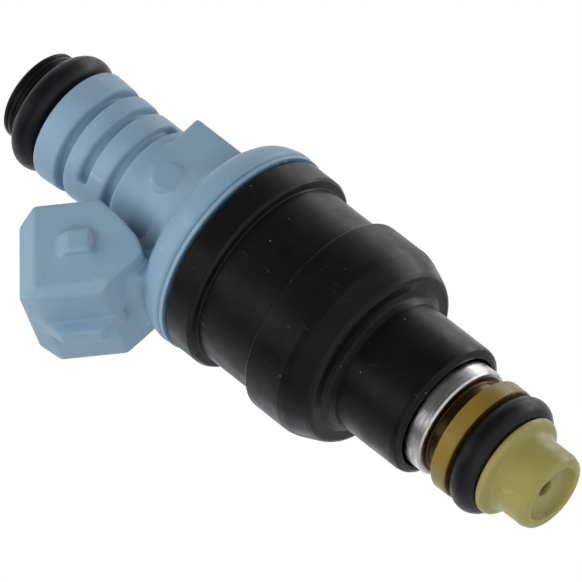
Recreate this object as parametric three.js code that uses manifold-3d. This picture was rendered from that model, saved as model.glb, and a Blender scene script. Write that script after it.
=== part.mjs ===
// Top-feed fuel injector with an angled two-blade electrical connector.
// Millimetres, +Z up towards the fuel inlet, +X towards the connector.
// The origin is on the injector's axis, at the middle of the lower O-ring.

import * as THREE from 'three';
import { mergeVertices } from 'three/addons/utils/BufferGeometryUtils.js';
import Module from 'manifold-3d';

const wasm = await Module();
wasm.setup();

// Driving dimensions. A depth is measured down the axis from the top of the blue moulding.
const MOULDING_TOP = 65.4; // height of depth 0 above the lower O-ring
const GAP = 0.3; // clearance between neighbouring pieces
const SIDES = 32; // facets round the large turned shapes
const INNER_SIDES = 24; // facets round the inner tubes and the armature
const SMALL_SIDES = 20; // facets round the smallest shapes

const O_RING = { centreRadius: 5.53, sectionRadius: 1.765, upperDepth: -2.25 };
const TUBE = { outer: 3.45, mouth: 2.95, bore: 1.6, topDepth: -5.0, poleDepth: 41.0 };
const BARREL = { topRadius: 7.04, radius: 6.6, slotFloor: 5.6 };
const COLLAR = { radius: 12.7, lip: 12.45, topDepth: 20.7, bottomDepth: 26.1 };
const SPIGOT = { radius: 9.7, bottomDepth: 28.0 };
const BLOCK = { back: -7.1, halfWidth: 6.2, topDepth: 13.1, bottomDepth: 22.0, turn: 4 };
const BOSS = { x: 0.6, depth: 16.2, radius: 1.9, height: 0.4 };
const SHROUD = { halfWidth: 7.75, near: 14.0, far: 25.25, mouth: 5.5, tilt: Math.PI / 4 };
const RIM = { halfWidth: 5.5, near: 15.25, far: 24.3, depth: 2.1 };
const SOCKET = { halfWidth: 4.7, near: 16.2, far: 23.4, floor: -3.0 };
const BLADE = { thickness: 0.8, width: 2.8, pitch: 5.0, axis: 19.8, tip: 3.4, footX: 7.2 };
const SLEEVE = { band: 12.4, waist: 11.25, drum: 12.2, nose: 8.1, bore: 10.0, noseBore: 7.0 };
const COIL = { top: 31.2, bottom: 43.2, hub: 4.5, flange: 8.4, wire: 7.6 };
const NEEDLE = { radius: 1.0, ball: 1.3, ballDepth: 66.6 };
const SPRING = { radius: 1.05, wire: 0.2, topDepth: 33.3, bottomDepth: 43.3, turns: 7 };

const heightAt = (depth) => MOULDING_TOP - depth;

// ---- geometry helpers -------------------------------------------------------------------

// Merges shared corners, drops collapsed faces and turns every face outwards.
function weld(source) {
  const bare = new THREE.BufferGeometry();
  bare.setAttribute('position', source.attributes.position);
  if (source.index) bare.setIndex(source.index);
  const merged = mergeVertices(bare, 1e-4);
  const corners = Array.from(merged.index.array);
  const kept = [];
  for (let i = 0; i < corners.length; i += 3) {
    const [a, b, c] = corners.slice(i, i + 3);
    if (a !== b && b !== c && c !== a) kept.push(a, b, c);
  }
  merged.setIndex(signedVolume(merged, kept) < 0 ? kept.reverse() : kept);
  return merged;
}

function signedVolume(geometry, corners) {
  const position = geometry.attributes.position;
  const [a, b, c] = [new THREE.Vector3(), new THREE.Vector3(), new THREE.Vector3()];
  let total = 0;
  for (let i = 0; i < corners.length; i += 3) {
    a.fromBufferAttribute(position, corners[i]);
    b.fromBufferAttribute(position, corners[i + 1]);
    c.fromBufferAttribute(position, corners[i + 2]);
    total += a.dot(b.cross(c)) / 6;
  }
  return total;
}

// Turns a profile of [radius, depth] points round the axis.
function revolve(profile, sides = SIDES) {
  const points = profile.map(([radius, depth]) => new THREE.Vector2(radius, heightAt(depth)));
  const touchesAxis = profile[0][0] === 0;
  if (!touchesAxis) points.push(points[0].clone());
  const geometry = new THREE.LatheGeometry(points, sides);
  geometry.rotateX(Math.PI / 2);
  return weld(geometry);
}

// A plain ring between two radii and two depths.
function ring(inner, outer, top, bottom, sides = SIDES) {
  return revolve([[inner, top], [outer, top], [outer, bottom], [inner, bottom]], sides);
}

function torus(centreRadius, sectionRadius, depth, sectionSides, sides = SIDES) {
  const profile = [];
  for (let i = 0; i < sectionSides; i += 1) {
    const angle = (2 * Math.PI * i) / sectionSides;
    profile.push([
      centreRadius + sectionRadius * Math.cos(angle),
      depth + sectionRadius * Math.sin(angle),
    ]);
  }
  return revolve(profile, sides);
}

// Points on a circular arc in a profile, angles in degrees, 0 outwards and 90 down the axis.
function arc(radius, depth, size, from, to, steps) {
  return Array.from({ length: steps + 1 }, (_, i) => {
    const angle = THREE.MathUtils.degToRad(from + ((to - from) * i) / steps);
    return [radius + size * Math.cos(angle), depth + size * Math.sin(angle)];
  });
}

function outline(points) {
  return new THREE.Shape(points.map(([x, y]) => new THREE.Vector2(x, y)));
}

// Extrudes a shape along its own Z, centred on it.
function slab(shape, thickness, curveSegments = 12) {
  const options = { depth: thickness, bevelEnabled: false, curveSegments };
  const geometry = new THREE.ExtrudeGeometry(shape, options);
  geometry.translate(0, 0, -thickness / 2);
  return geometry;
}

// A plate lying in the XZ plane: points are [x, depth], thickness runs along Y about midY.
function plate(points, thickness, midY = 0) {
  const geometry = slab(outline(points.map(([x, depth]) => [x, heightAt(depth)])), thickness);
  geometry.rotateX(Math.PI / 2);
  geometry.translate(0, midY, 0);
  return weld(geometry);
}

function box(low, high) {
  const size = high.map((value, i) => value - low[i]);
  const middle = high.map((value, i) => (value + low[i]) / 2);
  const geometry = new THREE.BoxGeometry(...size);
  geometry.translate(...middle);
  return weld(geometry);
}

// Connector coordinates: `along` runs out of the mouth, `across` runs towards the nozzle side.
function fromConnector([along, across]) {
  const cos = Math.cos(SHROUD.tilt);
  const sin = Math.sin(SHROUD.tilt);
  return [along * cos + across * sin, across * cos - along * sin];
}

function connectorPlate(points, thickness, midY = 0) {
  return plate(points.map(fromConnector), thickness, midY);
}

function connectorAxes() {
  const cos = Math.cos(SHROUD.tilt);
  const sin = Math.sin(SHROUD.tilt);
  return {
    along: new THREE.Vector3(cos, 0, sin),
    side: new THREE.Vector3(0, 1, 0),
    across: new THREE.Vector3(sin, 0, -cos),
  };
}

// A prism whose [along, y] outline runs across the connector from one level to another.
function connectorPrism(points, from, to) {
  const geometry = slab(outline(points), to - from);
  geometry.translate(0, 0, (from + to) / 2);
  const { along, side, across } = connectorAxes();
  geometry.applyMatrix4(new THREE.Matrix4().makeBasis(along, side, across));
  geometry.translate(0, 0, MOULDING_TOP);
  return weld(geometry);
}

function solid(geometry) {
  const vertProperties = new Float32Array(geometry.attributes.position.array);
  const triVerts = new Uint32Array(geometry.index.array);
  return new wasm.Manifold(new wasm.Mesh({ numProp: 3, vertProperties, triVerts }));
}

function toGeometry(body) {
  const mesh = body.getMesh();
  const geometry = new THREE.BufferGeometry();
  geometry.setAttribute('position', new THREE.BufferAttribute(mesh.vertProperties, 3));
  geometry.setIndex(new THREE.BufferAttribute(mesh.triVerts, 1));
  return geometry;
}

// Joins the first list of bodies, then cuts the second list out of them.
function carve(joined, cut = []) {
  let body = solid(joined[0]);
  for (const piece of joined.slice(1)) body = body.add(solid(piece));
  for (const piece of cut) body = body.subtract(solid(piece));
  return toGeometry(body);
}

// Keeps only what all the bodies share.
function common(first, ...others) {
  let body = solid(first);
  for (const piece of others) body = body.intersect(solid(piece));
  return toGeometry(body);
}

const mirrored = (shape) => [-1, 1].map(shape);

// ---- materials --------------------------------------------------------------------------

function material(color, roughness, metalness = 0) {
  return () => new THREE.MeshStandardMaterial({ color, roughness, metalness });
}

const bluePlastic = material(0x8fa8bf, 0.45);
const blackPlastic = material(0x141414, 0.4);
const blackRubber = material(0x0c0c0e, 0.5);
const brightSteel = material(0xb8b6b2, 0.25, 1);
const magnetSteel = material(0x8a8c90, 0.4, 1);
const amberPlastic = material(0xb8913f, 0.45);
const capPlastic = material(0xa3a05a, 0.5);
const naturalPlastic = material(0xd8d2c0, 0.6);
const tinnedBrass = material(0xc9c2a8, 0.3, 1);
const copper = material(0xb5673a, 0.35, 1);

// ---- blue moulding ----------------------------------------------------------------------

// The ribbed barrel, the waist below it, the domed collar and the spigot under the collar.
function barrelAndCollar() {
  return revolve([
    [TUBE.outer + GAP, 0],
    [BARREL.topRadius - 0.2, 0],
    [BARREL.topRadius, 0.2],
    [6.86, 3.4],
    [BARREL.slotFloor, 3.4],
    [BARREL.slotFloor, 4.5],
    [6.8, 4.5],
    [BARREL.radius, 8.5],
    [BARREL.radius, 11.5],
    [6.3, 13.5],
    [6.25, 15.5],
    [6.5, 17.5],
    [7.2, 19.3],
    [8.0, 20.3],
    [8.8, COLLAR.topDepth],
    [10.1, 21.3],
    [11.2, 21.9],
    [12.0, 22.7],
    [12.4, 23.6],
    [COLLAR.radius, 24.8],
    [COLLAR.radius, 25.3],
    [COLLAR.lip, 25.35],
    [COLLAR.lip, 25.6],
    [COLLAR.lip + 0.15, 25.7],
    [COLLAR.lip + 0.15, COLLAR.bottomDepth],
    [SPIGOT.radius, COLLAR.bottomDepth],
    [SPIGOT.radius, SPIGOT.bottomDepth],
    [TUBE.outer + GAP, SPIGOT.bottomDepth],
  ]);
}

// A slot round part of the barrel. Angles are in degrees from the connector.
function partialSlot(top, bottom, from, to) {
  const [start, end] = [from, to].map(THREE.MathUtils.degToRad);
  const shape = new THREE.Shape();
  shape.absarc(0, 0, BARREL.topRadius + 1, start, end, false);
  shape.absarc(0, 0, BARREL.slotFloor, end, start, true);
  shape.closePath();
  const geometry = slab(shape, bottom - top, 32);
  geometry.translate(0, 0, heightAt((top + bottom) / 2));
  return weld(geometry);
}

// The square block behind the waist, with its round boss on both flat sides.
// It is turned a few degrees from the connector.
function clipBlock() {
  const { back, halfWidth, topDepth, bottomDepth, turn } = BLOCK;
  const body = box(
    [back, -halfWidth, heightAt(bottomDepth)],
    [BOSS.x, halfWidth, heightAt(topDepth)],
  );
  const bossLength = 2 * (halfWidth + BOSS.height);
  const boss = new THREE.CylinderGeometry(BOSS.radius, BOSS.radius, bossLength, 24);
  boss.translate(BOSS.x, 0, heightAt(BOSS.depth));
  return [body, weld(boss)].map((piece) => piece.rotateZ(THREE.MathUtils.degToRad(turn)));
}

// The connector's outer shell: its side outline, cut to its plan and to its end outline.
function shroudShell() {
  const { halfWidth, near, far, mouth } = SHROUD;
  const side = connectorPlate([
    [mouth, RIM.near],
    [mouth - RIM.depth, near],
    [-4.05, near],
    [-6.8, 17.2],
    [-8.1, 19.1],
    [-8.7, 21.1],
    [-3.9, far],
    [mouth - RIM.depth, far],
    [mouth, RIM.far],
  ], 2 * halfWidth);
  const plan = connectorPrism([
    [mouth - RIM.depth, halfWidth],
    [mouth, RIM.halfWidth],
    [mouth, -RIM.halfWidth],
    [mouth - RIM.depth, -halfWidth],
    [-12, -halfWidth],
    [-12, halfWidth],
  ], near - 2, far + 2);
  return common(side, plan, endPrism());
}

// The shell's end outline run along the connector: a rectangle with its lower edges chamfered.
function endPrism() {
  const { halfWidth, near, far } = SHROUD;
  const [wide, narrow] = [1.0, 0.3];
  const length = 24;
  const geometry = slab(outline([
    [near, -halfWidth],
    [far - narrow, -halfWidth],
    [far, narrow - halfWidth],
    [far, halfWidth - wide],
    [far - wide, halfWidth],
    [near, halfWidth],
  ]), length);
  const { along, side, across } = connectorAxes();
  geometry.applyMatrix4(new THREE.Matrix4().makeBasis(across, side, along));
  geometry.translate(0, 0, MOULDING_TOP);
  return weld(geometry);
}

// The narrower webs that tie the shell to the barrel and the collar.
function shroudWebs() {
  const deep = connectorPlate([[-3, 17.0], [-11, 17.0], [-13, 20], [-11, 22.5], [-5, 23.5]], 7.2);
  const wide = connectorPlate([[-6, 19.6], [-11, 19.6], [-12, 22], [-10, 23], [-6, 23]], 10.8);
  return [deep, wide];
}

function keyRib() {
  const { far } = SHROUD;
  const points = [[4.2, far - 0.5], [1.8, far + 1.7], [-2.7, far + 1.7], [-5.2, far - 0.5]];
  return connectorPlate(points, 2.5);
}

// The ramped nub on each side that a wire clip snaps over.
function clipNub(side) {
  const inside = side * (SHROUD.halfWidth - 0.5);
  const outside = side * (SHROUD.halfWidth + 1.1);
  const points = [[1.3, inside], [-0.5, outside], [-3.0, outside], [-3.4, inside]];
  return connectorPrism(points, 17.95, 20.8);
}

function socketHollow() {
  const { floor, near, far, halfWidth } = SOCKET;
  const open = SHROUD.mouth + 2;
  return connectorPlate([[open, near], [floor, near], [floor, far], [open, far]], 2 * halfWidth);
}

// The terminal's outline, grown by a clearance where it is used as a cutter.
function bladeOutline(clearance) {
  const half = BLADE.width / 2 + clearance;
  const stem = 0.8 + clearance;
  const bend = -9.6;
  const upper = [BLADE.tip, -6.0].map((along) => fromConnector([along, BLADE.axis - half]));
  const lower = [-6.0, BLADE.tip].map((along) => fromConnector([along, BLADE.axis + half]));
  const kneeIn = fromConnector([bend, BLADE.axis - half]);
  const foot = COIL.top - GAP;
  return [
    ...upper,
    [BLADE.footX - stem, kneeIn[1]],
    [BLADE.footX - stem, foot + clearance],
    [BLADE.footX + stem, foot + clearance],
    [BLADE.footX + stem, kneeIn[1] + 1.4],
    ...lower,
  ];
}

function bladeChannel(side) {
  return plate(bladeOutline(GAP), BLADE.thickness + 2 * GAP, (side * BLADE.pitch) / 2);
}

function connectorMoulding() {
  return carve(
    [barrelAndCollar(), ...clipBlock(), shroudShell(), ...shroudWebs(), keyRib(), ...mirrored(clipNub)],
    [
      boreCutter(),
      partialSlot(6.7, 7.8, 28, 332),
      partialSlot(10.35, 11.5, -148, 148),
      socketHollow(),
      ...mirrored(bladeChannel),
    ],
  );
}

// The plain hole that the inlet tube passes through.
function boreCutter() {
  const radius = TUBE.outer + GAP;
  return revolve([[0, -2], [radius, -2], [radius, 30], [0, 30]]);
}

// ---- inlet ------------------------------------------------------------------------------

function filterCollar() {
  return revolve([
    [TUBE.mouth, -6.1],
    [TUBE.mouth + 0.2, -6.3],
    [5.2, -6.3],
    [5.5, -6.0],
    [5.5, -4.5],
    [5.25, -4.25],
    [TUBE.outer + GAP, -4.25],
    [TUBE.outer + GAP, TUBE.topDepth - GAP],
    [TUBE.mouth, TUBE.topDepth - GAP],
  ]);
}

function inletCoreTube() {
  const { outer, mouth, bore, topDepth, poleDepth } = TUBE;
  return revolve([
    [mouth, topDepth],
    [outer, topDepth],
    [outer, poleDepth],
    [bore, poleDepth],
    [bore, 14.0],
    [mouth, 12.5],
  ], INNER_SIDES);
}

function filterCage() {
  const cup = revolve([
    [2.2, 0.6],
    [2.65, 0.6],
    [2.65, 1.6],
    [2.5, 1.8],
    [2.5, 10.0],
    [0, 10.0],
    [0, 9.4],
    [2.2, 9.4],
  ].reverse(), SMALL_SIDES);
  const windows = [0, 1, 2].map((i) => {
    const window = box([0.6, -1.5, heightAt(8.8)], [4, 1.5, heightAt(2.4)]);
    window.rotateZ((2 * Math.PI * i) / 3);
    return window;
  });
  return carve([cup], windows);
}

// ---- coil and magnet --------------------------------------------------------------------

function fluxWasher() {
  const slots = mirrored((side) => {
    const y = (side * BLADE.pitch) / 2;
    const half = BLADE.thickness / 2 + GAP;
    const reach = 0.8 + GAP;
    return box(
      [BLADE.footX - reach, y - half, heightAt(30)],
      [BLADE.footX + reach, y + half, heightAt(28)],
    );
  });
  return carve([ring(TUBE.outer + GAP, SPIGOT.radius, 28.3, 29.6)], slots);
}

function magnetHousing() {
  return revolve([
    [8.7, 29.9],
    [SPIGOT.radius, 29.9],
    [SPIGOT.radius, 44.7],
    [5.7, 44.7],
    [5.7, 43.5],
    [8.7, 43.5],
  ]);
}

function coilBobbin() {
  const { top, bottom, hub, flange } = COIL;
  const spool = revolve([
    [hub, top],
    [flange, top],
    [flange, top + 1.0],
    [hub + 0.8, top + 1.0],
    [hub + 0.8, bottom - 1.0],
    [flange, bottom - 1.0],
    [flange, bottom],
    [hub, bottom],
  ]);
  const notches = mirrored((side) => box(
    [6.4, side * 3.4 - 0.5, heightAt(top + 1.3)],
    [9.0, side * 3.4 + 0.5, heightAt(top - 0.3)],
  ));
  return carve([spool], notches);
}

// The winding's outer face shows its last layer of wire as shallow ridges.
function coilWinding() {
  const turns = 8;
  const [top, bottom] = [COIL.top + 1.2, COIL.bottom - 1.2];
  const pitch = (bottom - top) / turns;
  const profile = [[COIL.hub + 1.0, bottom], [COIL.hub + 1.0, top]];
  for (let i = 0; i < turns; i += 1) {
    profile.push([COIL.wire - 0.12, top + pitch * (i + 0.1)]);
    profile.push([COIL.wire, top + pitch * (i + 0.5)]);
  }
  profile.push([COIL.wire - 0.12, bottom]);
  return revolve(profile, SMALL_SIDES);
}

function coilLead(side) {
  const y = side * 3.4;
  const path = new THREE.LineCurve3(
    new THREE.Vector3(BLADE.footX, y, heightAt(30.1)),
    new THREE.Vector3(BLADE.footX, y, heightAt(34.0)),
  );
  const section = new THREE.Shape();
  section.absarc(0, 0, 0.2, 0, 2 * Math.PI, false);
  const options = { extrudePath: path, steps: 4, bevelEnabled: false, curveSegments: 6 };
  return weld(new THREE.ExtrudeGeometry(section, options));
}

// ---- valve ------------------------------------------------------------------------------

// A C-shaped sleeve, split so that it springs against the tube's bore.
function adjustingSleeve() {
  const shape = new THREE.Shape();
  shape.absarc(0, 0, 1.3, 0.25, 2 * Math.PI - 0.25, false);
  shape.absarc(0, 0, 0.75, 2 * Math.PI - 0.45, 0.45, true);
  shape.closePath();
  const geometry = slab(shape, 9.0, 18);
  geometry.translate(0, 0, heightAt(28.5));
  return weld(geometry);
}

class SpringCurve extends THREE.Curve {
  getPoint(t, target = new THREE.Vector3()) {
    const angle = 2 * Math.PI * SPRING.turns * t;
    const top = heightAt(SPRING.topDepth + SPRING.wire);
    const bottom = heightAt(SPRING.bottomDepth - SPRING.wire);
    const closed = 0.12; // the share of each end that is wound flat
    const rise = THREE.MathUtils.clamp((t - closed) / (1 - 2 * closed), 0, 1);
    const flat = 2 * SPRING.wire * 1.1;
    const ends = flat * (Math.min(t, closed) + Math.max(t - 1 + closed, 0)) / closed;
    const height = bottom + ends + rise * (top - bottom - 2 * flat);
    const [x, y] = [Math.cos(angle), Math.sin(angle)];
    return target.set(SPRING.radius * x, SPRING.radius * y, height);
  }
}

function returnSpring() {
  const section = new THREE.Shape();
  section.absarc(0, 0, SPRING.wire, 0, 2 * Math.PI, false);
  const options = {
    extrudePath: new SpringCurve(),
    steps: SPRING.turns * 12,
    bevelEnabled: false,
    curveSegments: 3,
  };
  return weld(new THREE.ExtrudeGeometry(section, options));
}

function armature() {
  const top = TUBE.poleDepth + 0.25;
  const body = revolve([
    [1.5, top],
    [3.2, top],
    [3.4, top + 0.2],
    [3.4, 49.3],
    [3.2, 49.5],
    [1.1, 49.5],
    [1.1, 43.5],
    [1.5, 43.5],
  ], INNER_SIDES);
  const grooves = [0, 1, 2].map((i) => {
    const groove = box([2.7, -0.5, heightAt(50)], [4, 0.5, heightAt(41)]);
    groove.rotateZ((2 * Math.PI * (i + 0.5)) / 3);
    return groove;
  });
  return carve([body], grooves);
}

// The needle: stem, two guide lands and the ball that closes the seat.
function valveNeedle() {
  const { radius, ball, ballDepth } = NEEDLE;
  const land = 1.45;
  return revolve([
    [0, 44.2],
    [radius - 0.1, 44.2],
    [radius, 44.3],
    [radius, 52.8],
    [land, 53.1],
    [land, 54.5],
    [radius, 54.8],
    [radius, 62.6],
    [land, 62.9],
    [land, 64.3],
    [radius, 64.6],
    ...arc(0, ballDepth, ball, -40, 90, 8).slice(0, -1),
    [0, ballDepth + ball],
  ], SMALL_SIDES);
}

function valveBody() {
  return revolve([
    [4.45, 45.0],
    [6.5, 45.0],
    [6.7, 45.2],
    [6.7, 59.3],
    [6.5, 59.5],
    [5.6, 59.7],
    [5.6, 61.1],
    [TUBE.outer, 61.1],
    [TUBE.outer, 69.9],
    [2.9, 69.9],
    [2.9, 66.4],
    [1.6, 66.4],
    [1.6, 51.8],
    [3.75, 51.5],
    [3.75, 47.8],
    [4.45, 47.8],
  ]);
}

function valveSeat() {
  return revolve([
    [1.7, 66.7],
    [2.6, 66.7],
    [2.6, 69.2],
    [0.5, 69.2],
    [0.5, 68.1],
  ], SMALL_SIDES);
}

// ---- outer turned pieces ----------------------------------------------------------------

function bodySleeve() {
  const { band, waist, drum, nose, bore, noseBore } = SLEEVE;
  return revolve([
    [bore, 26.4],
    [band - 0.3, 26.4],
    [band, 26.7],
    [band, 29.8],
    [band - 0.3, 30.1],
    [waist, 30.2],
    [waist, 38.3],
    [drum - 0.15, 38.35],
    [drum, 38.6],
    [drum, 43.4],
    [drum - 0.2, 44.2],
    [11.05, 46.5],
    [10.75, 46.95],
    [10.4, 47.1],
    [nose + 1.1, 47.1],
    ...arc(nose + 1.1, 48.2, 1.1, -120, -180, 2),
    [nose, 56.4],
    ...arc(nose - 0.7, 56.6, 0.7, 30, 90, 2),
    [noseBore, 57.3],
    [noseBore, 45.0],
    [bore, 45.0],
  ]);
}

function spacerRing() {
  return revolve([
    [TUBE.outer + GAP, 61.4],
    [6.85, 61.4],
    [7.0, 61.55],
    [7.0, 63.4],
    [6.85, 63.55],
    [TUBE.outer + GAP, 63.55],
  ]);
}

// The cap snaps over the nozzle: a flange that keeps the O-ring on, and a round nose with a
// shallow dish in its end and the spray hole in the middle of the dish.
function pintleCap() {
  const dish = 3.5;
  const dishFloor = 72.0;
  const hole = 0.9;
  return revolve([
    [TUBE.outer + GAP, 67.2],
    [6.0, 67.2],
    [6.12, 67.4],
    [6.05, 67.85],
    [5.8, 68.05],
    ...arc(5.8, 69.15, 1.1, -110, -170, 3),
    [4.7, 69.6],
    [4.7, 72.2],
    ...arc(3.7, 72.2, 1.0, 15, 90, 4),
    [dish, 73.1],
    [dish, dishFloor],
    [hole, dishFloor],
    [hole, 70.2],
    [TUBE.outer + GAP, 70.2],
  ]);
}

// ---- assembly ---------------------------------------------------------------------------

const injector = new THREE.Group();
injector.name = 'fuel_injector';

function add(name, geometry, makeMaterial) {
  const mesh = new THREE.Mesh(geometry, makeMaterial());
  mesh.name = name;
  injector.add(mesh);
}

const { centreRadius, sectionRadius, upperDepth } = O_RING;

add('filter_collar', filterCollar(), blackPlastic);
add('upper_o_ring', torus(centreRadius, sectionRadius, upperDepth, 12), blackRubber);
add('inlet_core_tube', inletCoreTube(), magnetSteel);
add('inlet_filter_cage', filterCage(), naturalPlastic);
add('filter_mesh', ring(1.9, 2.1, 0.8, 9.2, SMALL_SIDES), brightSteel);
add('connector_moulding', connectorMoulding(), bluePlastic);
for (const [name, side] of [['left', -1], ['right', 1]]) {
  const blade = plate(bladeOutline(0), BLADE.thickness, (side * BLADE.pitch) / 2);
  add(`terminal_${name}`, blade, tinnedBrass);
  add(`coil_lead_${name}`, coilLead(side), copper);
}
add('body_sleeve', bodySleeve(), blackPlastic);
add('flux_washer', fluxWasher(), magnetSteel);
add('magnet_housing', magnetHousing(), magnetSteel);
add('upper_coil_seal', torus(4.2, 0.6, 30.5, 8, SMALL_SIDES), blackRubber);
add('coil_bobbin', coilBobbin(), naturalPlastic);
add('coil_winding', coilWinding(), copper);
add('lower_coil_seal', torus(4.87, 0.55, 44.35, 8, SMALL_SIDES), blackRubber);
add('nonmagnetic_tube', ring(3.75, 4.15, 38.5, 47.5, INNER_SIDES), brightSteel);
add('adjusting_sleeve', adjustingSleeve(), brightSteel);
add('return_spring', returnSpring(), brightSteel);
add('armature', armature(), magnetSteel);
add('valve_needle', valveNeedle(), brightSteel);
add('valve_body', valveBody(), brightSteel);
add('valve_seat', valveSeat(), brightSteel);
add('orifice_plate', ring(0.35, 2.6, 69.3, 69.6, SMALL_SIDES), brightSteel);
add('lower_spacer_ring', spacerRing(), amberPlastic);
add('lower_o_ring', torus(centreRadius, sectionRadius, MOULDING_TOP, 12), blackRubber);
add('pintle_cap', pintleCap(), capPlastic);

export default injector;
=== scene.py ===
"""Fuel injector: finished meshes, materials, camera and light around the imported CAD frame.

Blender works in metres. Profiles and outlines below are in millimetres and are turned into
metres by MM. A depth is measured down the axis from the top of the blue moulding. On the
connector, `along` runs out of its mouth and `across` runs towards the nozzle side.
"""

import math

import bmesh
import bpy
import numpy as np
import openvdb
from mathutils import Matrix, Vector


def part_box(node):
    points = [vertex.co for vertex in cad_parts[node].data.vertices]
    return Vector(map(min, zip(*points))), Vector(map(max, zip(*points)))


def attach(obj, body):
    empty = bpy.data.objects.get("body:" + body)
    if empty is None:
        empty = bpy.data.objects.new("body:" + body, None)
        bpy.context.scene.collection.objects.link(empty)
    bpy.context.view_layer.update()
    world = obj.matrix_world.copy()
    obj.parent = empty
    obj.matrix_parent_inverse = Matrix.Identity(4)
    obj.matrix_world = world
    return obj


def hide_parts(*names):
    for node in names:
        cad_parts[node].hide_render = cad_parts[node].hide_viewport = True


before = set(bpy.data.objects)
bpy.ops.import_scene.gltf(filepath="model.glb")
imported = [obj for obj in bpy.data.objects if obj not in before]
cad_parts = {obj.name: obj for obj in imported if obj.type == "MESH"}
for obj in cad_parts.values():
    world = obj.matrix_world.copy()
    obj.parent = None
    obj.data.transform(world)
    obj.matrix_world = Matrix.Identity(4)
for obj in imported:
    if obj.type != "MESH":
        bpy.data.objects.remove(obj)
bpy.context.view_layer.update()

MM = 0.001
BODY = "injector_body"
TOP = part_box("connector_moulding")[1].z  # height of depth 0

# ---- fineness of the meshes ---------------------------------------------------------------

TURNED_SIDES = 224
TUBE_SIDES = 96  # the inlet tube shows only inside the inlet's mouth
FILLET_STEPS = 5
SECTION_STEPS = 40  # round the section of an O-ring
VOXEL = 0.18  # grid step of the moulding's surface, in millimetres
PAD_STEPS = 3  # grid steps left free round the moulding
SOFTENING = 2  # passes that ease the moulding's edges
FAR_OUTSIDE = 10.0  # distance given to grid points that hold none
TABLE_STEP, TABLE_REACH = 0.08, 24  # radii at which the barrel's distance is worked out

# ---- moulding and connector dimensions, in millimetres ------------------------------------

BORE = 3.75
SLOT_FLOOR = 5.6
BARREL_PROFILE = [
    (0, 0), (6.84, 0), (7.04, 0.2), (6.86, 3.4), (SLOT_FLOOR, 3.4), (SLOT_FLOOR, 4.5),
    (6.8, 4.5), (6.6, 8.5), (6.6, 11.5), (6.3, 13.5), (6.25, 15.5), (6.5, 17.5), (7.2, 19.3),
    (8.0, 20.3), (8.8, 20.7), (10.1, 21.3), (11.2, 21.9), (12.0, 22.7), (12.4, 23.6),
    (12.7, 24.8), (12.7, 25.3), (12.3, 25.35), (12.3, 26.0), (9.7, 26.0), (9.7, 28), (0, 28),
]

# The top slot goes all the way round and is in BARREL_PROFILE. These two stop at an angle, in
# degrees from the connector: sense 1 keeps the part beyond it, sense -1 the part before it.
SLOT_END = 0.42  # radius that rounds a slot's ends
SLOTS = [
    {"top": 6.7, "bottom": 7.8, "stop": 28.0, "sense": 1},
    {"top": 10.4, "bottom": 11.5, "stop": 148.0, "sense": -1},
]

BLOCK = {"back": -7.1, "front": 0.6, "half": 6.2, "top": 13.1, "bottom": 22.0, "turn": 4.0}
BOSS = {"radius": 1.9, "depth": 16.2, "height": 0.4}

SHELL = {"half": 7.75, "near": 14.0, "far": 25.25, "mouth": 5.5}
RIM = {"half": 5.5, "near": 15.25, "far": 24.3, "depth": 2.1}
SOCKET = {"half": 4.7, "near": 16.2, "far": 23.4, "floor": -3.0}
LOWER_CHAMFERS = ((1.0, 1), (0.3, -1))  # of the shell: size, and the side of Y it is on

# Outlines on the connector are (along, across) points.
SHELL_OUTLINE = [
    (SHELL["mouth"], RIM["near"]), (SHELL["mouth"] - RIM["depth"], SHELL["near"]),
    (-4.05, SHELL["near"]), (-6.8, 17.2), (-8.1, 19.1), (-8.7, 21.1), (-3.9, SHELL["far"]),
    (SHELL["mouth"] - RIM["depth"], SHELL["far"]), (SHELL["mouth"], RIM["far"]),
]
WEBS = [
    {"half": 3.6, "outline": [(-3, 17), (-11, 17), (-13, 20), (-11, 22.5), (-5, 23.5)]},
    {"half": 5.4, "outline": [(-6, 19.6), (-11, 19.6), (-12, 22), (-10, 23), (-6, 23)]},
]
KEY_RIB = {"half": 1.25, "outline": [
    (4.2, SHELL["far"] - 0.5), (1.8, SHELL["far"] + 1.7), (-2.7, SHELL["far"] + 1.7),
    (-5.2, SHELL["far"] - 0.5), (-5.7, SHELL["far"] - 2.1),
]}
CLIP_NUB = {"near": 17.95, "far": 20.8, "plan": [  # the plan's points are (along, sideways)
    (1.3, SHELL["half"] - 0.5), (-0.5, SHELL["half"] + 1.1),
    (-3.0, SHELL["half"] + 1.1), (-3.4, SHELL["half"] - 0.5),
]}

# Width of the fillet where each feature meets the moulding.
FILLET = {
    "slot": 0.25, "block": 0.5, "boss": 0.06, "web": 0.4, "shell": 0.9, "rib": 0.25,
    "nub": 0.2, "socket": 0.2,
}


# ---- mesh helpers -------------------------------------------------------------------------

def round_corners(profile):
    """Replaces each (radius, depth, fillet) corner of a closed profile by a small curve."""
    nearly_straight, nearly_folded = math.radians(176), math.radians(4)
    longest = 0.48  # share of an edge that one fillet may use
    points = []
    count = len(profile)
    for i in range(count):
        before = Vector(profile[i - 1][:2])
        corner = Vector(profile[i][:2])
        after = Vector(profile[(i + 1) % count][:2])
        fillet = profile[i][2]
        back, on = before - corner, after - corner
        angle = back.angle(on, 0.0)
        if fillet <= 0 or angle > nearly_straight or angle < nearly_folded:
            points.append(corner)
            continue
        reach = fillet / math.tan(angle / 2)
        reach = min(reach, longest * back.length, longest * on.length)
        start = corner + back.normalized() * reach
        end = corner + on.normalized() * reach
        for k in range(FILLET_STEPS + 1):
            t = k / FILLET_STEPS
            points.append(start * (1 - t) ** 2 + corner * 2 * t * (1 - t) + end * t * t)
    return points


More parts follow.
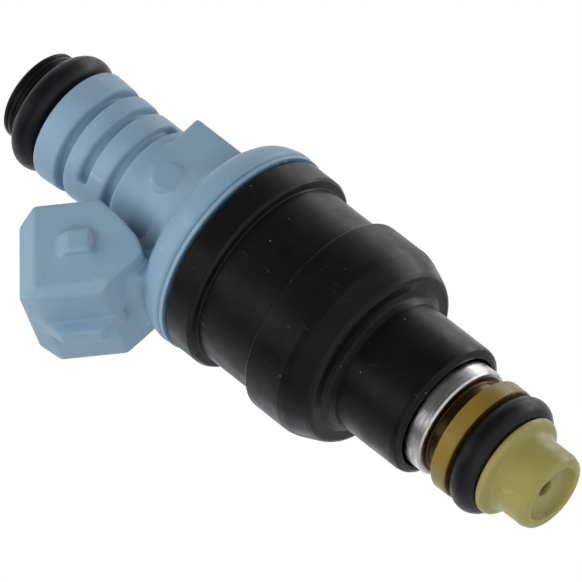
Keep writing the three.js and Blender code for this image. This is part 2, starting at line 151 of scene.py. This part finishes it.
def finish_mesh(name, mesh, slot, *nodes):
    """Links a mesh as a piece that stands for CAD nodes and rides on the injector's body.

    It gets the finish of the record's slot that is given.
    """
    piece = bpy.data.objects.new(name, mesh)
    bpy.context.scene.collection.objects.link(piece)
    mesh.materials.append(FINISHES[slot])
    mesh.polygons.foreach_set("use_smooth", [True] * len(mesh.polygons))
    weighted = piece.modifiers.new("weighted_normals", "WEIGHTED_NORMAL")
    weighted.keep_sharp = True
    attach(piece, BODY)
    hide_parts(*nodes)
    return piece


def turned(name, profile, slot, node, sides=TURNED_SIDES, wobble=0.0):
    """A lathe-turned ring: the rounded profile spun round the axis.

    Wobble, in millimetres, is how far a soft ring strays from a perfect circle, in three large
    lobes with seven small ones on them.
    """
    points = round_corners(profile)
    mesh_data = bmesh.new()
    rings = []
    for s in range(sides):
        turn = 2 * math.pi * s / sides
        swell = wobble * (math.sin(3 * turn + 0.7) + 0.5 * math.sin(7 * turn)) / 1.5
        ring = []
        for radius, depth in points:
            reach = (radius + swell * (radius > 0)) * MM
            spot = (reach * math.cos(turn), reach * math.sin(turn), TOP - depth * MM)
            ring.append(mesh_data.verts.new(spot))
        rings.append(ring)
    for s in range(sides):
        here, there = rings[s], rings[(s + 1) % sides]
        for i in range(len(points)):
            j = (i + 1) % len(points)
            mesh_data.faces.new((here[i], there[i], there[j], here[j]))
    bmesh.ops.recalc_face_normals(mesh_data, faces=mesh_data.faces)
    mesh = bpy.data.meshes.new(name)
    mesh_data.to_mesh(mesh)
    mesh_data.free()
    finish_mesh(name, mesh, slot, node)


def ring_profile(node):
    """The round section of an O-ring, as large as the box of its CAD node allows."""
    low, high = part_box(node)
    section = (high.z - low.z) / 2 / MM
    depth = (TOP - (high.z + low.z) / 2) / MM
    centre = high.x / MM - section
    turns = [2 * math.pi * k / SECTION_STEPS for k in range(SECTION_STEPS)]
    return [(centre + section * math.cos(a), depth + section * math.sin(a), 0.0) for a in turns]


# ---- distance fields ----------------------------------------------------------------------

def polygon_distance(points, x, y):
    """Signed distance from the points (x, y) to a closed polygon, negative inside."""
    nearest = np.full(x.shape, 1e9, np.float32)
    inside = np.zeros(x.shape, bool)
    count = len(points)
    for i in range(count):
        (ax, ay), (bx, by) = points[i], points[(i + 1) % count]
        ex, ey = bx - ax, by - ay
        share = np.clip(((x - ax) * ex + (y - ay) * ey) / (ex * ex + ey * ey + 1e-12), 0, 1)
        gap = (x - ax - share * ex) ** 2 + (y - ay - share * ey) ** 2
        nearest = np.minimum(nearest, gap)
        if ay != by:
            crosses = ((ay > y) != (by > y)) & (x < ex * (y - ay) / (by - ay) + ax)
            inside ^= crosses
    distance = np.sqrt(nearest)
    return np.where(inside, -distance, distance).astype(np.float32)


def blend_union(a, b, width):
    """Union of two fields with a fillet of about the given width where they meet."""
    overlap = np.maximum(width - np.abs(a - b), 0) / width
    return np.minimum(a, b) - overlap * overlap * width / 4


def blend_cut(a, b, width):
    """Field a with b cut out of it, its new edges eased over the given width."""
    overlap = np.maximum(width - np.abs(a + b), 0) / width
    return np.maximum(a, -b) + overlap * overlap * width / 4


def soften(field, passes):
    """Eases every edge a little, as a mould does, and leaves flat faces where they are."""
    for _ in range(passes):
        for axis in range(3):
            ahead = np.roll(field, -1, axis)
            behind = np.roll(field, 1, axis)
            field = (field * 2 + ahead + behind) / 4
    return field


def lathe_field(profile, radius, depth):
    """Distance field of a profile turned round the axis, read from a table over the radius."""
    table_radius = np.arange(0, TABLE_REACH, TABLE_STEP, dtype=np.float32)
    grid_r, grid_d = np.meshgrid(table_radius, depth[0, 0], indexing="ij")
    table = polygon_distance(profile, grid_r, grid_d)
    place = radius / TABLE_STEP
    low = np.minimum(place.astype(int), len(table_radius) - 2)
    share = (place - low)[:, :, None].astype(np.float32)
    return table[low] * (1 - share) + table[low + 1] * share


def cut_slots(field, radial, angle, depth):
    """Cuts the slots that go part of the way round the barrel."""
    quarter = 1.5  # radians; past a quarter turn the sine would fall again
    for slot in SLOTS:
        middle, half = (slot["top"] + slot["bottom"]) / 2, (slot["bottom"] - slot["top"]) / 2
        beyond = slot["sense"] * (angle - math.radians(slot["stop"]))
        past_end = radial * np.sin(np.clip(beyond, -quarter, quarter))
        high, long = np.abs(depth - middle) - half + SLOT_END, SLOT_END - past_end
        outline = np.hypot(np.maximum(high, 0), np.maximum(long, 0)) - SLOT_END
        outline = outline + np.minimum(np.maximum(high, long), 0)
        field = blend_cut(field, np.maximum(outline, SLOT_FLOOR - radial), FILLET["slot"])
    return field


def add_block(field, x, y, depth):
    """Adds the block behind the waist, with a boss on both of its flat sides."""
    turn = math.radians(BLOCK["turn"])
    block_x = x * math.cos(turn) + y * math.sin(turn)
    block_y = np.abs(y * math.cos(turn) - x * math.sin(turn))
    block = np.maximum(BLOCK["back"] - block_x, block_x - BLOCK["front"])
    block = np.maximum(block, block_y - BLOCK["half"])
    block = np.maximum(block, np.maximum(BLOCK["top"] - depth, depth - BLOCK["bottom"]))
    field = blend_union(field, block, FILLET["block"])
    from_boss = np.sqrt((block_x - BLOCK["front"]) ** 2 + (depth - BOSS["depth"]) ** 2)
    boss = np.maximum(from_boss - BOSS["radius"], block_y - BLOCK["half"] - BOSS["height"])
    return blend_union(field, boss, FILLET["boss"])


def add_connector(field, x, y, depth):
    """Adds the connector's shell, webs, key rib and clip nubs, and cuts its socket."""
    slope = math.sqrt(0.5)
    along, across, side = slope * (x - depth), slope * (x + depth), np.abs(y)

    def plate(feature):
        outline = polygon_distance(feature["outline"], along[:, :1], across[:, :1])
        return np.maximum(outline, side - feature["half"])

    shell = plate({"outline": SHELL_OUTLINE, "half": SHELL["half"]})
    inward = SHELL["half"] - RIM["half"]
    length = math.hypot(inward, RIM["depth"])
    taper = ((along - SHELL["mouth"] + RIM["depth"]) * inward
             + (side - SHELL["half"]) * RIM["depth"]) / length
    shell = np.maximum(shell, taper)
    for chamfer, facing in LOWER_CHAMFERS:
        corner = (across - SHELL["far"] + facing * y - SHELL["half"] + chamfer) * slope
        shell = np.maximum(shell, corner)
    for web in WEBS:
        shell = blend_union(shell, plate(web), FILLET["web"])
    field = blend_union(field, shell, FILLET["shell"])
    field = blend_union(field, plate(KEY_RIB), FILLET["rib"])

    nub = polygon_distance(CLIP_NUB["plan"], along, side)
    nub = np.maximum(nub, np.maximum(CLIP_NUB["near"] - across, across - CLIP_NUB["far"]))
    field = blend_union(field, nub, FILLET["nub"])

    socket = np.maximum(SOCKET["near"] - across, across - SOCKET["far"])
    socket = np.maximum(socket, np.maximum(side - SOCKET["half"], SOCKET["floor"] - along))
    return blend_cut(field, socket, FILLET["socket"])


def moulding_field(x, y, depth):
    """Distance field of the blue moulding at every grid point, in millimetres."""
    radius = np.sqrt(x[:, :, 0] ** 2 + y[:, :, 0] ** 2)
    radial = radius[:, :, None]
    field = lathe_field(BARREL_PROFILE, radius, depth)
    field = cut_slots(field, radial, np.abs(np.arctan2(y, x)), depth)
    field = add_block(field, x, y, depth)
    field = add_connector(field, x, y, depth)
    return np.maximum(field, BORE - radial)


def moulding():
    """The one-piece blue moulding, taken as a smooth surface from its distance field."""
    low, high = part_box("connector_moulding")
    pad = PAD_STEPS * VOXEL
    axes = [
        np.arange(low[i] / MM - pad, high[i] / MM + pad, VOXEL, dtype=np.float32)
        for i in range(2)
    ]
    axes.append(np.arange(-pad, (TOP - low.z) / MM + pad, VOXEL, dtype=np.float32))
    shape = [len(axis) for axis in axes]
    spread = np.meshgrid(*axes, indexing="ij", sparse=True)
    x, y, depth = (np.broadcast_to(values, shape) for values in spread)
    field = soften(moulding_field(x, y, depth), SOFTENING)
    grid = openvdb.FloatGrid(FAR_OUTSIDE)
    grid.copyFromArray(np.ascontiguousarray(field, dtype=np.float32))
    points, quads = grid.convertToQuads(0.0)
    points = points * VOXEL + np.array([axis[0] for axis in axes])
    points[:, 2] = TOP / MM - points[:, 2]
    mesh = bpy.data.meshes.new("connector_moulding_fine")
    mesh.from_pydata((points * MM).tolist(), [], quads.tolist())
    scratch = bmesh.new()
    scratch.from_mesh(mesh)
    bmesh.ops.recalc_face_normals(scratch, faces=scratch.faces)
    scratch.to_mesh(mesh)
    scratch.free()
    finish_mesh("blue_moulding", mesh, "blue_plastic", "connector_moulding")


# ---- materials ----------------------------------------------------------------------------

MIX_FACTOR, MIX_A, MIX_B = 0, 6, 7  # sockets of a Mix node that mixes colours
MIX_RESULT = 2
CROWDED = (0.3, 0.7)  # most of a noise's values lie between these
HOLLOW_SAMPLES = 8
CELL_SIZE = 7  # grid of dust grains, as a multiple of their size
# radius, in millimetres, inside which steel gets painted shade and a painted amber reflection
NECK_SHADE_RADIUS = 6.3


def set_range(node, low, high, out_low, out_high):
    """Sets what a Map Range node maps from, and what to."""
    for socket, number in (("From Min", low), ("From Max", high),
                           ("To Min", out_low), ("To Max", out_high)):
        node.inputs[socket].default_value = number


class Finish:
    """Builds one procedural material. Sizes are in millimetres of the object."""

    def __init__(self, name, colour, roughness, **sockets):
        self.material = bpy.data.materials.new(name)
        self.material.use_nodes = True
        self.nodes = self.material.node_tree.nodes
        self.links = self.material.node_tree.links
        self.shader = self.nodes["Principled BSDF"]
        self.where = self.nodes.new("ShaderNodeTexCoord").outputs["Object"]
        self.shader.inputs["Base Color"].default_value = (*colour, 1)
        self.shader.inputs["Roughness"].default_value = roughness
        for socket, value in sockets.items():
            self.shader.inputs[socket.replace("_", " ")].default_value = value
        self.colour = None
        self.base = colour
        self.height = None

    def scaled(self, scale):
        """The place on the object, scaled along each axis."""
        mapping = self.nodes.new("ShaderNodeMapping")
        mapping.inputs["Scale"].default_value = scale
        self.links.new(self.where, mapping.inputs["Vector"])
        return mapping.outputs["Vector"]

    def noise(self, size, detail=3.0, stretch=(1, 1, 1)):
        """Noise of the given grain size. A higher stretch makes it finer along that axis."""
        place = self.scaled([s / (size * MM) for s in stretch])
        node = self.nodes.new("ShaderNodeTexNoise")
        node.inputs["Scale"].default_value = 1.0
        node.inputs["Detail"].default_value = detail
        self.links.new(place, node.inputs["Vector"])
        return node.outputs["Fac"]

    def ramp(self, value, low, high, out_low=0.0, out_high=1.0):
        """Eases from one output to the other while the value goes from low to high."""
        node = self.nodes.new("ShaderNodeMapRange")
        node.interpolation_type = "SMOOTHSTEP"
        set_range(node, low, high, out_low, out_high)
        self.links.new(value, node.inputs["Value"])
        return node.outputs["Result"]

    def times(self, a, b):
        node = self.nodes.new("ShaderNodeMath")
        node.operation = "MULTIPLY"
        self.links.new(a, node.inputs[0])
        self.links.new(b, node.inputs[1])
        return node.outputs[0]

    def tint(self, mask, colour):
        """Mixes a second colour in where the mask is high."""
        node = self.nodes.new("ShaderNodeMix")
        node.data_type = "RGBA"
        node.inputs[MIX_A].default_value = (*self.base, 1)
        node.inputs[MIX_B].default_value = (*colour, 1)
        if self.colour is not None:
            self.links.new(self.colour, node.inputs[MIX_A])
        self.links.new(mask, node.inputs[MIX_FACTOR])
        self.colour = node.outputs[MIX_RESULT]
        self.links.new(self.colour, self.shader.inputs["Base Color"])
        return self

    def rough(self, value, low, high):
        """Lets the roughness wander between low and high with the value."""
        roughness = self.ramp(value, *CROWDED, low, high)
        self.links.new(roughness, self.shader.inputs["Roughness"])
        return self

    def bump(self, value, depth):
        """Adds relief of about the given depth, in millimetres."""
        node = self.nodes.new("ShaderNodeBump")
        node.inputs["Strength"].default_value = 1.0
        node.inputs["Distance"].default_value = depth * MM
        self.links.new(value, node.inputs["Height"])
        if self.height is not None:
            self.links.new(self.height, node.inputs["Normal"])
        self.height = node.outputs["Normal"]
        self.links.new(self.height, self.shader.inputs["Normal"])
        return self

    def edges(self, low=0.52, high=0.60):
        """A mask that is high along outside edges, where the colour is made lighter: partly
        handling wear, partly painted highlight on the rounded edges.
        """
        shape = self.nodes.new("ShaderNodeNewGeometry").outputs["Pointiness"]
        return self.times(self.ramp(shape, low, high), self.ramp(self.noise(1.4), 0.35, 0.65))

    def hollow_shade(self, reach):
        """A mask of painted shade: high in grooves and inside corners, where the colour is
        darkened to stand in for shade.
        """
        node = self.nodes.new("ShaderNodeAmbientOcclusion")
        node.inputs["Distance"].default_value = reach * MM
        node.samples = HOLLOW_SAMPLES
        return self.ramp(node.outputs["AO"], 0.35, 0.95, 1.0, 0.0)

    def specks(self, size, share):
        """A mask of dust grains of about the given size, in that share of the cells."""
        place = self.scaled([1 / (size * CELL_SIZE * MM)] * 3)
        cells = self.nodes.new("ShaderNodeTexVoronoi")
        cells.inputs["Scale"].default_value = 1.0
        self.links.new(place, cells.inputs["Vector"])
        grain = self.ramp(cells.outputs["Distance"], 0.05, 0.11, 1.0, 0.0)
        chosen = self.nodes.new("ShaderNodeSeparateColor")
        self.links.new(cells.outputs["Color"], chosen.inputs["Color"])
        picked = self.ramp(chosen.outputs[0], 1 - share - 0.02, 1 - share)
        return self.times(grain, picked)

    def inside_radius(self, radius):
        """A mask that is high nearer the axis than the radius, in millimetres."""
        flat = self.nodes.new("ShaderNodeVectorMath")
        flat.operation = "MULTIPLY"
        flat.inputs[1].default_value = (1, 1, 0)
        self.links.new(self.where, flat.inputs[0])
        length = self.nodes.new("ShaderNodeVectorMath")
        length.operation = "LENGTH"
        self.links.new(flat.outputs[0], length.inputs[0])
        edge = radius * MM
        return self.ramp(length.outputs["Value"], 0.97 * edge, edge, 1.0, 0.0)

    def scratches(self, size, rarity, stretch):
        """A mask of thin marks, fewer as rarity goes up."""
        return self.ramp(self.noise(size, 2.0, stretch), rarity, rarity + 0.03)


def blue_plastic():
    f = Finish("blue_satin_moulding", (0.258, 0.384, 0.500), 0.46, IOR=1.48,
               Subsurface_Weight=0.08, Subsurface_Scale=0.0012)
    f.tint(f.ramp(f.noise(9.0, 4.0), 0.35, 0.7), (0.232, 0.362, 0.482))
    f.tint(f.ramp(f.noise(2.2, 5.0, (1, 1, 0.25)), 0.55, 0.8), (0.285, 0.400, 0.505))
    # painted shade: a deeper blue in grooves and inside corners
    f.tint(f.hollow_shade(0.8), (0.130, 0.265, 0.395))
    # lighter blue along outside edges: partly wear, partly painted highlight
    f.tint(f.edges(0.54, 0.66), (0.370, 0.480, 0.590))
    f.tint(f.specks(0.09, 0.05), (0.12, 0.16, 0.20))
    f.rough(f.noise(1.8, 4.0), 0.38, 0.54)
    f.bump(f.noise(0.16, 3.0), 0.006)
    f.bump(f.noise(3.5, 2.0), 0.035)
    return f.bump(f.scratches(1.0, 0.70, (1, 1, 9)), 0.006).material


def black_plastic():
    f = Finish("black_satin_sleeve", (0.0040, 0.0040, 0.0042), 0.34, IOR=1.47,
               Specular_IOR_Level=0.28)
    f.tint(f.ramp(f.noise(7.0, 4.0), 0.4, 0.7), (0.0062, 0.0062, 0.0064))
    # lighter grey along outside edges: partly wear, partly painted highlight
    f.tint(f.edges(0.53, 0.64), (0.030, 0.030, 0.032))
    f.tint(f.times(f.scratches(1.3, 0.69, (5, 1, 1)), f.ramp(f.noise(4.0), 0.45, 0.7)),
           (0.045, 0.045, 0.047))
    f.tint(f.specks(0.12, 0.035), (0.34, 0.34, 0.34))
    f.tint(f.specks(0.05, 0.08), (0.12, 0.12, 0.12))
    f.rough(f.noise(2.4, 5.0), 0.29, 0.44)
    f.bump(f.noise(0.14, 3.0), 0.004)
    f.bump(f.noise(2.5, 3.0), 0.015)
    return f.bump(f.noise(0.9, 2.0, (0.15, 0.15, 3)), 0.004).material


def black_rubber():
    f = Finish("o_ring_rubber", (0.0045, 0.0045, 0.0056), 0.36, IOR=1.50,
               Specular_IOR_Level=0.30)
    f.tint(f.ramp(f.noise(2.0, 5.0), 0.45, 0.75), (0.0075, 0.0075, 0.0090))
    f.tint(f.specks(0.05, 0.10), (0.10, 0.10, 0.10))
    f.rough(f.noise(1.0, 4.0), 0.30, 0.48)
    f.bump(f.noise(0.20, 4.0), 0.006)
    return f.bump(f.noise(2.0, 2.0), 0.020).material


def turned_steel(name, colour, stain):
    """Steel. Any of it within the neck radius of the axis is tinted dark brown, as painted
    shade and a painted reflection of the amber ring.
    """
    f = Finish(name, colour, 0.24, Metallic=1.0)
    f.tint(f.ramp(f.noise(2.6, 5.0, (1, 1, 2)), 0.50, 0.72), stain)
    f.tint(f.ramp(f.noise(0.7, 3.0, (0.2, 0.2, 4)), 0.5, 0.8), (0.52, 0.50, 0.49))
    # painted shade and painted amber reflection: dark brown on the neck near the axis
    f.tint(f.inside_radius(NECK_SHADE_RADIUS), (0.100, 0.062, 0.028))
    # painted shade: near-black brown in grooves and inside corners
    f.tint(f.hollow_shade(0.8), (0.035, 0.027, 0.020))
    f.rough(f.noise(1.2, 4.0, (1, 1, 4)), 0.24, 0.40)
    f.bump(f.noise(0.5, 2.0, (0.05, 0.05, 6)), 0.004)
    return f.bump(f.noise(1.4, 3.0), 0.010).material


def amber_plastic():
    f = Finish("amber_spacer", (0.240, 0.164, 0.022), 0.36, IOR=1.5,
               Subsurface_Weight=0.35, Subsurface_Scale=0.0016)
    f.shader.inputs["Subsurface Radius"].default_value = (1.0, 0.55, 0.15)
    f.tint(f.ramp(f.noise(3.0, 4.0), 0.4, 0.7), (0.205, 0.130, 0.017))
    # painted shade: dark brown in grooves and inside corners
    f.tint(f.hollow_shade(0.9), (0.085, 0.042, 0.008))
    # lighter amber along outside edges: partly wear, partly painted highlight
    f.tint(f.edges(), (0.38, 0.27, 0.08))
    f.rough(f.noise(1.2, 3.0), 0.30, 0.46)
    return f.bump(f.noise(0.3, 3.0), 0.008).material


def cap_plastic():
    f = Finish("olive_cap", (0.345, 0.312, 0.094), 0.40, IOR=1.5,
               Subsurface_Weight=0.40, Subsurface_Scale=0.0022)
    f.shader.inputs["Subsurface Radius"].default_value = (1.0, 0.8, 0.3)
    f.tint(f.ramp(f.noise(4.0, 4.0), 0.4, 0.75), (0.310, 0.282, 0.080))
    f.tint(f.ramp(f.noise(1.3, 5.0), 0.6, 0.8), (0.42, 0.40, 0.19))
    # painted shade: darker olive in grooves and inside corners
    f.tint(f.hollow_shade(1.0), (0.190, 0.170, 0.040))
    f.tint(f.specks(0.07, 0.05), (0.20, 0.17, 0.05))
    f.rough(f.noise(1.5, 4.0), 0.32, 0.50)
    f.bump(f.noise(0.22, 3.0), 0.006)
    return f.bump(f.noise(2.2, 2.0), 0.030).material


def natural_plastic():
    f = Finish("natural_nylon", (0.66, 0.60, 0.47), 0.5, IOR=1.5,
               Subsurface_Weight=0.3, Subsurface_Scale=0.001)
    f.tint(f.ramp(f.noise(2.0, 4.0), 0.4, 0.7), (0.58, 0.52, 0.38))
    f.rough(f.noise(1.0), 0.42, 0.58)
    return f.bump(f.noise(0.3), 0.006).material


def tinned_brass():
    f = Finish("tinned_brass_blade", (0.62, 0.59, 0.50), 0.28, Metallic=1.0)
    f.tint(f.ramp(f.noise(1.2, 4.0), 0.5, 0.75), (0.50, 0.42, 0.26))
    f.rough(f.noise(0.7, 4.0), 0.22, 0.42)
    return f.bump(f.noise(0.25, 3.0, (1, 1, 0.2)), 0.004).material


def copper():
    f = Finish("enamelled_copper", (0.48, 0.17, 0.07), 0.32, Metallic=1.0,
               Coat_Weight=0.5)
    f.tint(f.ramp(f.noise(1.0, 4.0), 0.45, 0.7), (0.36, 0.11, 0.04))
    f.rough(f.noise(0.6, 3.0), 0.26, 0.40)
    return f.bump(f.noise(0.2, 2.0), 0.003).material


FINISHES = {
    "blue_plastic": blue_plastic(),
    "black_plastic": black_plastic(),
    "black_rubber": black_rubber(),
    "bright_steel": turned_steel("turned_steel", (0.74, 0.725, 0.715), (0.40, 0.36, 0.33)),
    "magnet_steel": turned_steel("magnet_steel", (0.36, 0.36, 0.37), (0.16, 0.15, 0.14)),
    "amber_plastic": amber_plastic(),
    "cap_plastic": cap_plastic(),
    "natural_plastic": natural_plastic(),
    "tinned_brass": tinned_brass(),
    "copper": copper(),
}


def finish_cad_nodes():
    """Gives every carried-over CAD node the finish of the record's slot that it names."""
    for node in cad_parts.values():
        for i, packed in enumerate(node.data.materials):
            node.data.materials[i] = FINISHES[packed.name]


# ---- pieces -------------------------------------------------------------------------------

# Every corner of a turned piece's profile is (radius, depth, fillet).
FILTER_COLLAR = [
    (2.95, -6.05, 0.1), (3.1, -6.3, 0.1), (5.15, -6.3, 0.2), (5.5, -6.0, 0.2),
    (5.5, -5.62, 0.05), (5.36, -5.56, 0.05), (5.36, -5.40, 0.05), (5.5, -5.34, 0.05),
    (5.5, -4.96, 0.05), (5.38, -4.90, 0.05), (5.38, -4.76, 0.05), (5.48, -4.70, 0.05),
    (5.46, -4.45, 0.1), (5.22, -4.25, 0.1), (3.75, -4.25, 0.1), (3.75, -5.3, 0.1),
    (2.95, -5.3, 0.1),
]

COLLAR_LIP = [
    (12.0, 25.62, 0.05), (12.54, 25.62, 0.06), (12.6, 25.72, 0.06), (12.6, 26.04, 0.05),
    (12.54, 26.1, 0.05), (12.0, 26.1, 0.05),
]

BODY_SLEEVE = [
    (10.0, 26.4, 0.1), (12.15, 26.4, 0.2), (12.4, 26.65, 0.2), (12.4, 29.75, 0.25),
    (12.1, 30.15, 0.2), (11.25, 30.25, 0.25), (11.25, 38.3, 0.15), (12.0, 38.35, 0.2),
    (12.2, 38.6, 0.25), (12.2, 43.4, 0.6), (12.0, 44.2, 0.6), (11.05, 46.5, 0.5),
    (10.75, 46.95, 0.3), (10.4, 47.1, 0.3), (9.2, 47.1, 0.2), (8.42, 47.42, 0.5),
    (8.1, 48.2, 0.8), (8.1, 56.4, 0.4), (7.98, 56.98, 0.3), (7.4, 57.3, 0.2),
    (7.0, 57.3, 0.1), (7.0, 45.0, 0.1), (10.0, 45.0, 0.1),
]

VALVE_BODY = [
    (4.45, 45.0, 0.1), (6.5, 45.0, 0.1), (6.7, 45.2, 0.1), (6.7, 59.25, 0.12),
    (6.5, 59.5, 0.12), (5.75, 59.6, 0.1), (5.6, 59.75, 0.1), (5.6, 61.1, 0.1),
    (3.45, 61.1, 0.1), (3.45, 69.9, 0.1), (2.9, 69.9, 0.1), (2.9, 66.4, 0.1),
    (1.6, 66.4, 0.1), (1.6, 51.8, 0.1), (3.75, 51.5, 0.1), (3.75, 47.8, 0.1),
    (4.45, 47.8, 0.1),
]

SPACER_RING = [
    (3.75, 61.4, 0.1), (6.85, 61.4, 0.15), (7.0, 61.55, 0.15), (7.0, 63.4, 0.15),
    (6.85, 63.55, 0.15), (3.75, 63.55, 0.1),
]

PINTLE_CAP = [
    (3.75, 67.2, 0.1), (5.95, 67.2, 0.15), (6.12, 67.4, 0.2), (6.06, 67.85, 0.25),
    (5.8, 68.05, 0.25), (5.02, 68.38, 0.7), (4.7, 69.3, 0.9), (4.7, 72.2, 0.6),
    (4.45, 72.9, 0.6), (3.85, 73.2, 0.5), (3.45, 73.1, 0.5), (3.2, 72.2, 1.0),
    (0.9, 72.0, 0.3), (0.9, 70.2, 0.1), (3.75, 70.2, 0.1),
]

INLET_TUBE = [
    (2.95, -5.0, 0.1), (3.45, -5.0, 0.1), (3.45, 41.0, 0.1), (1.6, 41.0, 0.1),
    (1.6, 14.0, 0.1), (2.95, 12.5, 0.2),
]


TERMINAL_EASE = 0.12  # millimetres
RING_WOBBLE = -0.02


def terminal(name):
    """A blade with eased edges, made from its CAD solid."""
    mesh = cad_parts[name].data.copy()
    mesh.materials.clear()
    piece = finish_mesh(f"{name}_blade", mesh, "tinned_brass", name)
    easing = piece.modifiers.new("eased_edges", "BEVEL")
    easing.width = TERMINAL_EASE * MM
    easing.segments = 3
    easing.limit_method = "ANGLE"
    piece.modifiers.move(1, 0)  # ahead of the weighted normals


def build_pieces():
    finish_cad_nodes()
    turned("inlet_filter_collar", FILTER_COLLAR, "black_plastic", "filter_collar")
    turned("inlet_tube", INLET_TUBE, "magnet_steel", "inlet_core_tube", sides=TUBE_SIDES)
    for name, node in (("upper_seal", "upper_o_ring"), ("lower_seal", "lower_o_ring")):
        turned(name, ring_profile(node), "black_rubber", node, wobble=RING_WOBBLE)
    moulding()
    turned("blue_collar_lip", COLLAR_LIP, "blue_plastic", "connector_moulding")
    for name in ("terminal_left", "terminal_right"):
        terminal(name)
    turned("black_body_sleeve", BODY_SLEEVE, "black_plastic", "body_sleeve")
    turned("steel_valve_body", VALVE_BODY, "bright_steel", "valve_body")
    turned("amber_spacer_ring", SPACER_RING, "amber_plastic", "lower_spacer_ring")
    turned("olive_pintle_cap", PINTLE_CAP, "cap_plastic", "pintle_cap")


# ---- camera, floor and light --------------------------------------------------------------

AIM = Vector((0, 0, 0.03199))
AZIMUTH, ELEVATION, ROLL = 165.2, -26.2, 52.1  # degrees; azimuth 0 looks along +Y
DISTANCE = 1.0132
LENS = 574.8
FRONT_LEVEL, BACK_LEVEL = 0.10, 1.1  # brightness of the studio before and behind the object
FRONT_END, BACK_END = -0.15, 0.95  # cosines to the line of view where those levels are reached
FILL_COLOUR = (0.95, 0.97, 1.0)


def camera_axes():
    """The camera's right, up and backward directions."""
    a, e, r = (math.radians(v) for v in (AZIMUTH, ELEVATION, ROLL))
    back = Vector((math.sin(a) * math.cos(e), -math.cos(a) * math.cos(e), math.sin(e)))
    level = (-back).cross(Vector((0, 0, 1))).normalized()
    upright = level.cross(-back)
    up = upright * math.cos(r) + level * math.sin(r)
    return up.cross(back), up, back


def make_camera():
    right, up, back = camera_axes()
    lens = bpy.data.cameras.new("camera")
    lens.lens = LENS
    lens.sensor_width = 36
    lens.clip_start, lens.clip_end = 0.05, 20
    camera = bpy.data.objects.new("camera", lens)
    camera.matrix_world = Matrix((
        (right.x, up.x, back.x, 0), (right.y, up.y, back.y, 0), (right.z, up.z, back.z, 0),
        (0, 0, 0, 1),
    ))
    camera.location = AIM + back * DISTANCE
    bpy.context.scene.collection.objects.link(camera)
    bpy.context.scene.camera = camera


def softbox(name, rightward, upward, backward, size, power, mirrored=True):
    """A rectangular light placed from the camera's axes and aimed at the object.

    Places and sizes are in metres and the power is in watts.
    One that isn't mirrored lights the surfaces but isn't seen in their gloss.
    """
    right, up, back = camera_axes()
    lamp = bpy.data.lights.new(name, "AREA")
    lamp.shape = "RECTANGLE"
    lamp.size, lamp.size_y = size
    lamp.energy = power
    light = bpy.data.objects.new(name, lamp)
    light.visible_glossy = mirrored
    light.location = AIM + right * rightward + up * upward + back * backward
    light.rotation_mode = "QUATERNION"
    light.rotation_quaternion = (AIM - light.location).to_track_quat("-Z", "Y")
    bpy.context.scene.collection.objects.link(light)


def make_stage():
    half, height = 3.0, -0.6  # metres
    mesh = bpy.data.meshes.new("floor")
    corners = [(-half, -half, height), (half, -half, height), (half, half, height),
               (-half, half, height)]
    mesh.from_pydata(corners, [], [(0, 1, 2, 3)])
    floor = bpy.data.objects.new("floor", mesh)
    bpy.context.scene.collection.objects.link(floor)
    pale = Finish("pale_floor", (0.80, 0.80, 0.80), 0.8)
    pale.tint(pale.ramp(pale.noise(400.0), 0.3, 0.7), (0.77, 0.77, 0.77))
    pale.rough(pale.noise(60.0), 0.75, 0.9)
    pale.bump(pale.noise(6.0), 0.1)
    mesh.materials.append(pale.material)


def make_light():
    world = bpy.data.worlds.new("studio")
    bpy.context.scene.world = world
    world.use_nodes = True
    nodes, links = world.node_tree.nodes, world.node_tree.links
    nodes.clear()
    seen = nodes.new("ShaderNodeBackground")
    seen.inputs["Strength"].default_value = 1.0
    seen.inputs["Color"].default_value = (1, 1, 1, 1)
    fill = nodes.new("ShaderNodeBackground")
    fill.inputs["Color"].default_value = (*FILL_COLOUR, 1)
    facing = nodes.new("ShaderNodeVectorMath")
    facing.operation = "DOT_PRODUCT"
    facing.inputs[1].default_value = -camera_axes()[2]
    direction = nodes.new("ShaderNodeTexCoord")
    links.new(direction.outputs["Generated"], facing.inputs[0])
    level = nodes.new("ShaderNodeMapRange")
    set_range(level, FRONT_END, BACK_END, FRONT_LEVEL, BACK_LEVEL)
    links.new(facing.outputs["Value"], level.inputs["Value"])
    links.new(level.outputs["Result"], fill.inputs["Strength"])
    path = nodes.new("ShaderNodeLightPath")
    mix = nodes.new("ShaderNodeMixShader")
    output = nodes.new("ShaderNodeOutputWorld")
    links.new(path.outputs["Is Camera Ray"], mix.inputs["Fac"])
    links.new(fill.outputs[0], mix.inputs[1])
    links.new(seen.outputs[0], mix.inputs[2])
    links.new(mix.outputs[0], output.inputs["Surface"])
    softbox("left_fill", -0.85, 0.25, 0.35, (0.9, 0.9), 5.5, mirrored=False)
    softbox("front_fill", -0.25, -0.35, 0.85, (0.7, 0.7), 3.2, mirrored=False)
    softbox("left_card", -0.90, 0.10, 0.30, (0.4, 0.9), 0.9)
    softbox("right_strip", 0.75, 0.60, -0.30, (0.45, 1.1), 4)
    bpy.context.scene.view_settings.view_transform = "Standard"


make_camera()
make_stage()
make_light()
build_pieces()
